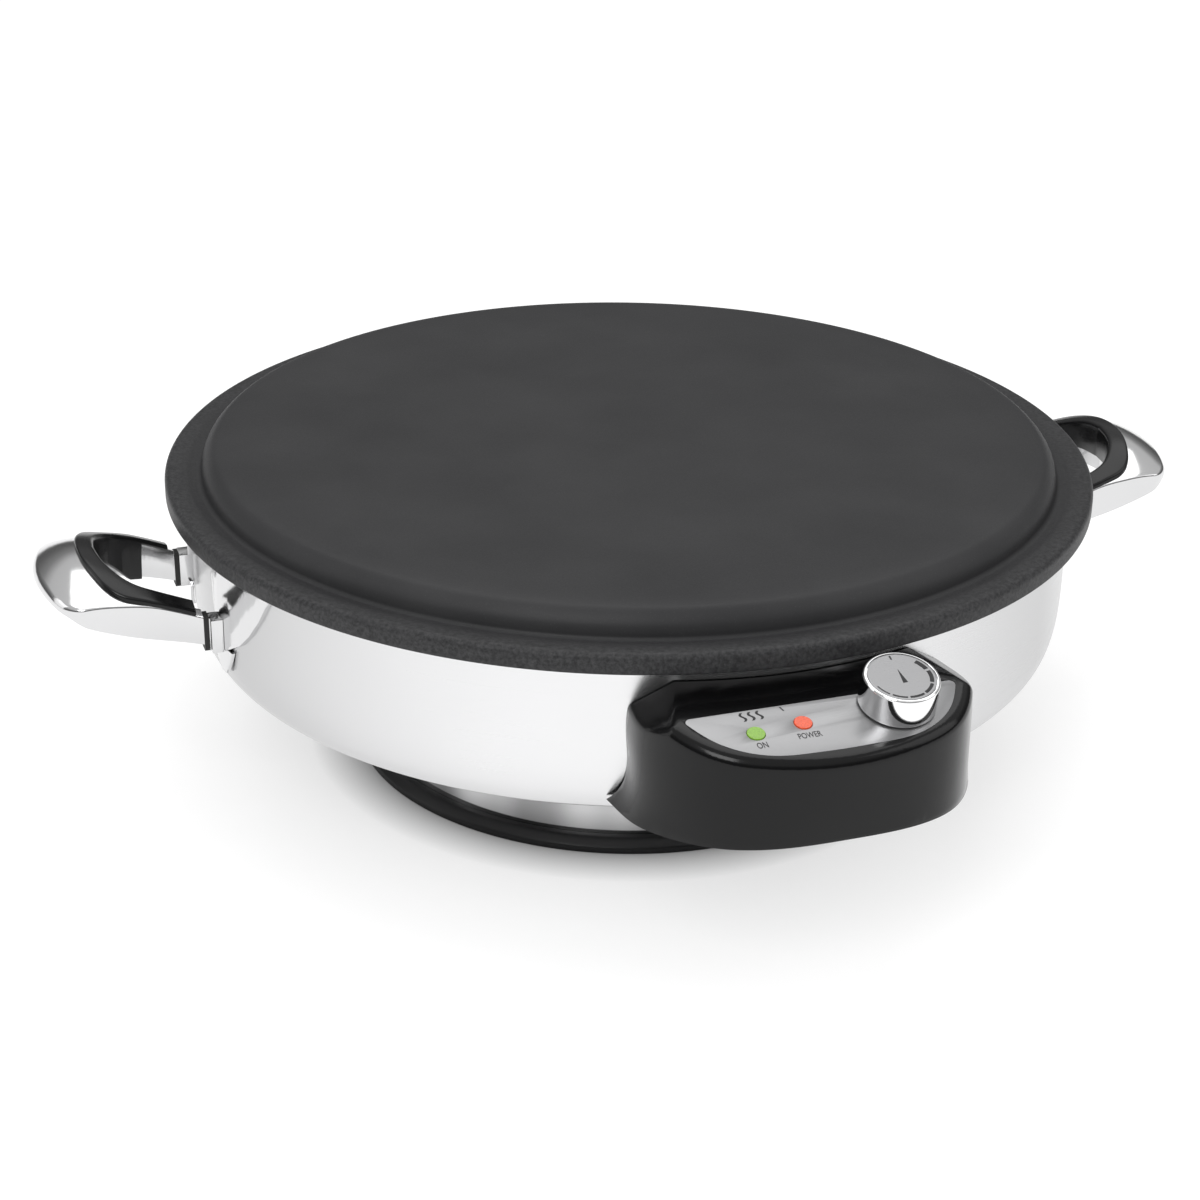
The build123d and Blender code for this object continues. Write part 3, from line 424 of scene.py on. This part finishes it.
def refine(node, bevel, angle=32):
    """Copy of a CAD node of the base, welded, with rounded edges."""
    mesh = NODES[node].data.copy()
    bm = bmesh.new()
    bm.from_mesh(mesh)
    bmesh.ops.remove_doubles(bm, verts=bm.verts, dist=2e-6)
    bmesh.ops.dissolve_limit(bm, angle_limit=math.radians(0.05), verts=bm.verts, edges=bm.edges)
    bm.to_mesh(mesh)
    bm.free()
    obj = piece(f"{node}_fine", mesh, "griddle_base", SLOTS[node], node)
    mod = obj.modifiers.new("edges", "BEVEL")
    mod.width, mod.segments, mod.limit_method = bevel, 3, "ANGLE"
    mod.angle_limit = math.radians(angle)
    mod.harden_normals = True
    for p in mesh.polygons:
        p.use_smooth = True


# ------------------------------------------------------------------- plate
PLATE_R, PLATE_TOP, PLATE_UNDER = 210.0, 148.2, 143.2  # millimetres
PLATE_LIP = 129.0  # underside of the rim


def make_plate():
    shoulder = curve_through([(184.0, PLATE_TOP), (187.6, 147.5), (190.5, 145.3), (192.6, 142.2),
                              (193.45, 138.7)], 8)
    groove = arc(195.4, 138.2, 1.9, 190, 268, 6)
    land = curve_through([(196.2, 136.35), (198.2, 136.75), (200.4, 137.35), (203.5, 137.68),
                          (206.6, 137.75)], 5)
    edge = arc(PLATE_R - 2.8, 134.9, 2.8, 84, 0, 8) + [(PLATE_R, 132.4)]
    edge += arc(PLATE_R - 0.8, PLATE_LIP + 0.8, 0.8, 0, -90, 5)
    under = [(206.6, PLATE_LIP), (206.6, 133.0), (197.2, 133.0), (197.2, 126.5), (192.5, 126.5)]
    under += [(r, PLATE_UNDER) for r in (188.0, 100, AXIS_R)]
    profile = [(r, PLATE_TOP) for r in (AXIS_R, 60, 120, 160, 176)] + shoulder + groove + land + edge + under
    mesh = lathe("plate_fine", profile, 320)
    by_angle(piece("plate_fine", mesh, "cooking_plate", "nonstick_plate", "griddle_plate"), 40)


make_plate()

# -------------------------------------------------------- bowl, foot, ring
BOWL_R, BOWL_FLOOR = 200.0, 40.4  # millimetres
FOOT_R, RING_R = 120.0, 127.0


def make_bowl():
    """Sheet bowl: flat floor, sloping cone, rounded corner, upright wall and rolled rim."""
    floor = [(r, BOWL_FLOOR) for r in (AXIS_R, 60, 118)] + [(122, 40.44)]
    cone = [(122 + 61.5 * t, 40.44 + 16.76 * t) for t in (0.1, 0.25, 0.5, 0.75)]
    corner = curve_through([(181.5, 56.66), (184.2, 57.45), (189.6, 59.7), (194.1, 63.3), (197.4, 69.0),
                            (199.2, 77.0), (199.85, 86.0), (BOWL_R, 94.0)], 6)
    wall = [(BOWL_R, z) for z in (105.0, 118.0, 129.6)] + arc(200.2, 131.2, 1.5, -90, 180, 12)
    inner_corner = curve_through([(198.2, 77.2), (196.4, 69.6), (193.3, 64.2), (189.0, 60.7),
                                  (183.8, 58.5)], 4)
    inside = [(198.8, 129.0), (199.0, 100.0), (198.9, 86.0)] + inner_corner
    inside += [(150, 49.2), (121.8, 41.5), (AXIS_R, BOWL_FLOOR + 1.0)]
    mesh = lathe("bowl_fine", floor + cone + corner + wall + inside, 320)
    by_angle(piece("bowl_fine", mesh, "griddle_base", "bowl_steel", "bowl_shell"), 50)


def make_foot():
    """Foot drum of 1 mm sheet, flanged inward at its top and near its bottom."""
    outside = [(FOOT_R, 3.0), (FOOT_R, 20.0), (FOOT_R, 39.4), (119.2, BOWL_FLOOR), (111.0, BOWL_FLOOR)]
    inside = [(111.0, 39.4), (119.0, 39.4), (119.0, 5.0), (96.0, 5.0), (96.0, 4.0), (118.8, 4.0),
              (118.8, 3.0)]
    mesh = lathe("foot_fine", outside + inside, 256)
    by_angle(piece("foot_fine", mesh, "griddle_base", "foot_steel", "foot_shell"), 40)


def make_ring():
    """Black base ring with a fine groove under it and a rounded outer shoulder."""
    under = [(110.0, 0.0), (117.6, 0.0), (117.8, 0.5), (118.2, 0.5), (118.4, 0.0), (126.4, 0.0)]
    shoulder = curve_through([(RING_R, 2.1), (126.6, 3.1), (125.6, 4.2), (124.4, 5.4), (123.3, 6.1),
                              (122.6, 6.3)], 4)
    inside = [(120.1, 6.3), (120.1, 3.0), (110.0, 3.0)]
    profile = under + arc(RING_R - 0.7, 0.7, 0.7, -90, 0, 5) + shoulder + inside
    mesh = lathe("ring_fine", profile, 256)
    by_angle(piece("ring_fine", mesh, "griddle_base", "base_black", "base_ring"), 40)


make_bowl()
make_foot()
make_ring()

# ------------------------------------------------------------- control box
TILT = math.radians(14.0)
FASCIA_Y, FASCIA_Z = -221.8, 119.7  # millimetres from the bowl axis and from the table
FASCIA = (Matrix.Translation((0, AXIS_Y + FASCIA_Y / 1000, FASCIA_Z / 1000))
          @ Matrix.Rotation(TILT, 4, "X"))


def on_fascia(x, y):
    """Local fascia place, in metres, of a plan position in millimetres from the bowl axis."""
    return x / 1000, (y - FASCIA_Y) / 1000 / math.cos(TILT)


KNOB = FASCIA @ Matrix.Translation((*on_fascia(28.4, -230.0), 0))


def printed(name, outline, place, low, high, body, slot):
    """Thin black mark from an outline in millimetres of a plane, between two heights over it."""
    bm = bmesh.new()
    lower = [bm.verts.new((x / 1000, y / 1000, low / 1000)) for x, y in outline]
    upper = [bm.verts.new((x / 1000, y / 1000, high / 1000)) for x, y in outline]
    bm.faces.new(upper)
    bm.faces.new(lower[::-1])
    for i in range(len(outline)):
        j = (i + 1) % len(outline)
        bm.faces.new((lower[i], lower[j], upper[j], upper[i]))
    piece(name, mesh_from(name, bm, place, smooth=False), body, slot, material=MATS["print_black"])


def fascia_mark(name, outline):
    printed(name, outline, FASCIA, 0.0, 0.06, "griddle_base", "fascia_silver")


def word(name, text, x, y, size):
    """Printed word on the fascia, in narrow letters."""
    data = bpy.data.curves.new(name, "FONT")
    data.body, data.size, data.align_x, data.align_y = text, size / 1000, "CENTER", "CENTER"
    data.extrude, data.offset, data.resolution_u = 0.00003, 0.00003, 4
    obj = bpy.data.objects.new(name, data)
    scene.collection.objects.link(obj)
    bpy.context.view_layer.update()
    mesh = bpy.data.meshes.new_from_object(obj.evaluated_get(bpy.context.evaluated_depsgraph_get()))
    bpy.data.objects.remove(obj)
    narrow = Matrix.Diagonal((0.63, 1, 1, 1))
    mesh.transform(FASCIA @ Matrix.Translation((*on_fascia(x, y), 0.00003)) @ narrow)
    piece(name, mesh, "griddle_base", "fascia_silver", material=MATS["print_black"])


def make_box():
    refine("control_housing", 0.0006, angle=40)
    refine("fascia_plate", 0.0002)
    word("word_on", "ON", -31.9, -241.4, 4.6)
    word("word_power", "POWER", -12.0, -239.8, 4.4)
    half_line, height, steps = 0.55, 4.9, 8
    for k in range(3):
        x0 = -33.6 + 3.4 * k
        wave = [(x0 + 0.8 * math.sin(t / steps * 2 * math.pi), -5.9 + height * t / steps)
                for t in range(steps + 1)]
        outline = [(x - half_line, y) for x, y in wave] + [(x + half_line, y) for x, y in reversed(wave)]
        fascia_mark(f"heat_wave_{k}", outline)
    fascia_mark("scale_tick", [(-17.0, -3.2), (-16.4, -3.2), (-17.2, -0.8), (-17.8, -0.8)])


make_box()

# -------------------------------------------------------------------- knob
KNOB_R, KNOB_TOP, CAP_TOP = 15.4, 13.6, 13.5  # millimetres
BAR_R = 12.4
# Dial bars: start and end in degrees, and width as a factor.
BARS = ((196, 224, 0.45), (229, 257, 0.65), (262, 292, 0.9), (297, 328, 1.15), (333, 366, 1.45),
        (372, 400, 1.7))


def facet(r, z, angle):
    """Knob's radius, with four gently curved sides between its foot and its top edge."""
    side_r, side_shift = 18.4, 3.3
    if not 2.6 < z < 12.2 or r < 14.0:
        return r
    turn = math.radians((math.degrees(angle) - 20 + 45) % 90 - 45)
    reach = math.sqrt(side_r ** 2 - (side_shift * math.sin(turn)) ** 2) - side_shift * math.cos(turn)
    return min(r, reach + 0.25)


def knob_mark(name, outline):
    printed(name, outline, KNOB, CAP_TOP - 0.02, CAP_TOP + 0.06, "thermostat_knob", "knob_satin")


def make_knob():
    side = [(KNOB_R - 0.3 * t, 1.2 + 11.4 * t) for t in (0.0, 0.13, 0.14, 0.3, 0.5, 0.7, 0.9, 0.985, 0.99)]
    foot = [(5.6, 0.6), (14.8, 0.6)] + arc(14.9, 1.1, 0.5, -90, 0, 4)
    top = arc(14.1, KNOB_TOP - 1.0, 1.0, 0, 90, 8)
    seat = [(13.95, KNOB_TOP), (13.8, 13.4), (13.8, 12.7), (AXIS_R, 12.7)]
    bore = [(AXIS_R, 10.1), (3.05, 10.1), (3.05, 0.9), (5.6, 0.9)]
    mesh = lathe("knob_fine", foot + side + top + seat + bore, 160, KNOB, wobble=facet)
    by_angle(piece("knob_fine", mesh, "thermostat_knob", "knob_chrome", "knob_body"), 28)
    cap = [(AXIS_R, 12.7), (13.55, 12.7), (13.55, 13.3)] + arc(13.35, 13.3, 0.2, 0, 90, 3)
    cap += [(13.0, CAP_TOP), (AXIS_R, CAP_TOP)]
    mesh = lathe("knob_cap_fine", cap, 96, KNOB, closed=False)
    by_angle(piece("knob_cap_fine", mesh, "thermostat_knob", "knob_satin", "knob_cap"), 30)
    for k, (a0, a1, wide) in enumerate(BARS):
        knob_mark(f"knob_bar_{k}", arc(0, 0, BAR_R, a0, a1, 10) + arc(0, 0, BAR_R - 1.15 * wide, a1, a0, 10))
    knob_mark("knob_zero", [(-0.35, 10.4), (0.35, 10.4), (0.35, 12.6), (-0.35, 12.6)])
    knob_mark("knob_pointer", [(-1.0, -3.4), (1.0, -3.4), (0.45, 1.0), (0.0, 4.6), (-0.45, 1.0)])


make_knob()

# ----------------------------------------------------------------- handles
# Side profile: distance from the bowl axis, top at mid-width, top at CROWN_HALF to the side.
CROWN_HALF = 42.0
CROWN = curve_through(((205.5, 105.0, 99.4), (225.0, 113.5, 106.6), (240.0, 119.6, 108.6),
                       (252.0, 121.4, 109.2), (262.0, 118.9, 108.0), (272.0, 113.4, 104.0)), 12)
UNDER = curve_through(((205.5, 87.1), (214.7, 89.7), (235.7, 95.2), (253.5, 101.6), (262.5, 107.0),
                       (272.0, 110.4)), 8)
BAND_LOW = ((220.5, 91.2), (226.0, 91.8), (236.0, 103.0), (241.0, 106.6), (253.0, 108.2))
# Half outlines seen from above: distance from the bowl axis, half width.
ROOT_X, GRIP_ROOT_X = 205.5, 208.5
OUTER = ([(ROOT_X, 37.8), (222.0, 38.1), (240.0, 38.5), (251.0, 38.7)]
         + curve_through([(255.5, 38.7), (259.0, 37.2), (262.4, 34.4), (264.9, 30.9), (267.2, 25.0),
                          (269.3, 16.5), (270.6, 8.0), (271.0, 0.0)], 8))
LOOP = ((197.5, 28.9), (222.0, 28.8), (234.2, 25.0), (242.2, 13.6), (244.6, 0.0))
# Which way each point of LOOP moves as the loop grows.
LOOP_OUTWARD = ((0, 1), (0, 1), (0.65, 0.76), (0.93, 0.4), (1, 0))
GRIP_EDGE = ([(GRIP_ROOT_X, 38.1), (218.0, 38.05)]
             + curve_through([(226.0, 38.0), (238.0, 35.6), (244.6, 30.0), (249.2, 20.0), (251.7, 10.0),
                              (252.4, 0.0)], 10))
GRIP_PROUD = 2.4
BAND_STEPS = 110
ROUND = [(1 - math.cos(math.radians(a)), 1 - math.sin(math.radians(a))) for a in (0, 18, 36, 54, 72, 90)]


def level(line, x, column=1):
    """Height read off a side profile."""
    for a, b in zip(line, line[1:]):
        if x <= b[0]:
            t = max(0.0, (x - a[0]) / (b[0] - a[0]))
            return a[column] + (b[column] - a[column]) * t
    return line[-1][column]


def crown(x, y):
    """Height of the casting's domed top."""
    top, side = level(CROWN, x), level(CROWN, x, 2)
    return top - (top - side) * (y / CROWN_HALF) ** 2


def between(a, b, t):
    """Point part of the way from one to another."""
    return tuple(p + (q - p) * t for p, q in zip(a, b))


def spaced(points, count):
    """Points spaced evenly along a run of points."""
    reach = [0.0]
    for a, b in zip(points, points[1:]):
        reach.append(reach[-1] + math.dist(a, b))
    out, k = [], 0
    for i in range(count + 1):
        want = reach[-1] * i / count
        while k < len(reach) - 2 and reach[k + 1] < want:
            k += 1
        out.append(between(points[k], points[k + 1], (want - reach[k]) / (reach[k + 1] - reach[k])))
    return out


def grown_loop(grow, start):
    """Finger opening's half outline, grown outward, from a distance to its end."""
    grown = [(x + grow * k, y + grow * m) for (x, y), (k, m) in zip(LOOP, LOOP_OUTWARD)]
    line = [p for p in curve_through(grown, 12) if p[0] > start]
    return [(start, line[0][1])] + line


def ribbon(name, outer, inner, section, flip):
    """U-shaped solid between two half outlines, with the section given across the band."""
    half_run = list(zip(spaced(outer, BAND_STEPS), spaced(inner, BAND_STEPS)))
    stations = [(1, a, b) for a, b in half_run] + [(-1, a, b) for a, b in half_run[-2::-1]]
    bm = bmesh.new()
    rows = []
    for half, a, b in stations:
        row = []
        for d, z in section(a, b):
            x, y = between(a, b, d / math.dist(a, b))
            row.append(bm.verts.new((flip * x / 1000, half * y / 1000, z / 1000)))
        rows.append(row)
    for a, b in zip(rows, rows[1:]):
        for i in range(len(a)):
            j = (i + 1) % len(a)
            bm.faces.new((a[i], a[j], b[j], b[i]))
    bm.faces.new(rows[0])
    bm.faces.new(rows[-1][::-1])
    return mesh_from(name, bm, AT_AXIS)


def casting_section(outer, inner):
    """Domed top, rounded outer edge that softens toward the tip, upright inner wall."""
    width = math.dist(outer, inner)

    def top(d):
        return crown(*between(outer, inner, d / width))

    soft = max(0.0, min(1.0, (outer[0] - 256.0) / 10.0))
    r = 0.9 + 1.5 * soft
    dome = width - 0.8 - r
    low = level(UNDER, outer[0])
    edge = crown(*inner)
    low_in = min(level(UNDER, inner[0]), edge - 4)
    points = [(0.7, low), (0.2, low + 0.25), (0.0, low + 0.8)]
    points += [(r * a, top(r * a) - r * b) for a, b in ROUND]
    points += [(r + dome * t, top(r + dome * t)) for t in (0.2, 0.4, 0.6, 0.8, 1.0)]
    points += [(width - 0.25, edge - 0.2), (width, edge - 0.7), (width, low_in + 0.6),
               (width - 0.2, low_in + 0.15), (width - 0.7, low_in)]
    return points


def grip_section(outer, inner):
    """Rounded band proud of the casting, with a lip down the inner wall."""
    width = math.dist(outer, inner)

    def top(d):
        return crown(*between(outer, inner, d / width))

    out_r, in_r = 1.2, 2.0
    flat = width - in_r - out_r
    lip = width - 2.6
    blend = max(0.0, min(1.0, (inner[0] - 220.2) / 0.6))
    base = crown(*inner) + 0.1
    foot = base + (level(BAND_LOW, max(inner[0], 220.5)) - base) * blend
    points = [(0.0, crown(*outer) + 0.1)]
    points += [(out_r * a, top(out_r * a) + GRIP_PROUD - out_r * b) for a, b in ROUND]
    points += [(out_r + flat * t, top(out_r + flat * t) + GRIP_PROUD) for t in (0.25, 0.5, 0.75)]
    points += [(width - in_r * a, top(width - in_r * a) + GRIP_PROUD - in_r * b) for a, b in reversed(ROUND)]
    points += [(width, foot + 0.5), (width - 0.4, foot), (lip + 0.1, foot), (lip, top(lip) + 0.05),
               (lip - 0.2, top(lip - 0.2) + 0.1)]
    return points


def make_handle(side, flip):
    parts = (("casting", OUTER, grown_loop(2.7, ROOT_X), casting_section),
             ("grip", GRIP_EDGE, grown_loop(0.0, GRIP_ROOT_X), grip_section))
    for part, outer, inner, section in parts:
        name, node = f"{side}_{part}_fine", f"{side}_handle_{part}"
        mesh = ribbon(name, outer, inner, section, flip)
        by_angle(piece(name, mesh, "griddle_base", SLOTS[node], node), 42)
    refine(f"{side}_handle_lugs", 0.0004)


make_handle("left", -1)
make_handle("right", 1)


# ------------------------------------------------------------ floor, light
def make_floor():
    mesh = bpy.data.meshes.new("floor")
    mesh.from_pydata([(-9, -9, 0), (9, -9, 0), (9, 9, 0), (-9, 9, 0)], [], [(0, 1, 2, 3)])
    floor = bpy.data.objects.new("floor", mesh)
    scene.collection.objects.link(floor)
    mesh.materials.append(floor_paper())


def make_world():
    """Studio surround: a dark band just above the horizon and a bright overhead."""
    world = bpy.data.worlds.new("studio")
    scene.world = world
    world.use_nodes = True
    tree = world.node_tree
    back = tree.nodes["Background"]
    coord = tree.nodes.new("ShaderNodeTexCoord")
    split = tree.nodes.new("ShaderNodeSeparateXYZ")
    ramp = tree.nodes.new("ShaderNodeValToRGB")
    tree.links.new(coord.outputs["Generated"], split.inputs[0])
    tree.links.new(split.outputs[2], ramp.inputs[0])
    tree.links.new(ramp.outputs[0], back.inputs["Color"])
    stops = ((0.0, 0.80), (0.06, 0.22), (0.20, 0.32), (0.40, 0.66), (0.55, 1.5), (1.0, 1.7))
    elements = ramp.color_ramp.elements
    for element, (pos, v) in zip(elements, (stops[0], stops[-1])):
        element.position, element.color = pos, (v, v, v, 1)
    for pos, v in stops[1:-1]:
        elements.new(pos).color = (v, v, v, 1)
    back.inputs["Strength"].default_value = 0.40


def make_lights():
    aim = Vector((0, 0, 0.08))
    # Name, place, width and height in metres, and power in watts.
    lights = (("key", (-1.1, -1.4, 1.7), 1.0, 1.0, 16), ("fill", (1.6, -0.9, 1.3), 1.2, 1.6, 6),
              ("top", (0.2, 0.7, 2.2), 2.2, 1.6, 15), ("left", (-2.0, 0.5, 0.9), 1.0, 1.6, 5))
    for name, place, width, height, power in lights:
        data = bpy.data.lights.new(name, "AREA")
        data.shape, data.size, data.size_y, data.energy = "RECTANGLE", width, height, power
        lamp = bpy.data.objects.new(name, data)
        scene.collection.objects.link(lamp)
        lamp.location = place
        lamp.rotation_euler = (aim - Vector(place)).to_track_quat("-Z", "Y").to_euler()


make_floor()
make_world()
make_lights()
scene.view_settings.view_transform = "Standard"
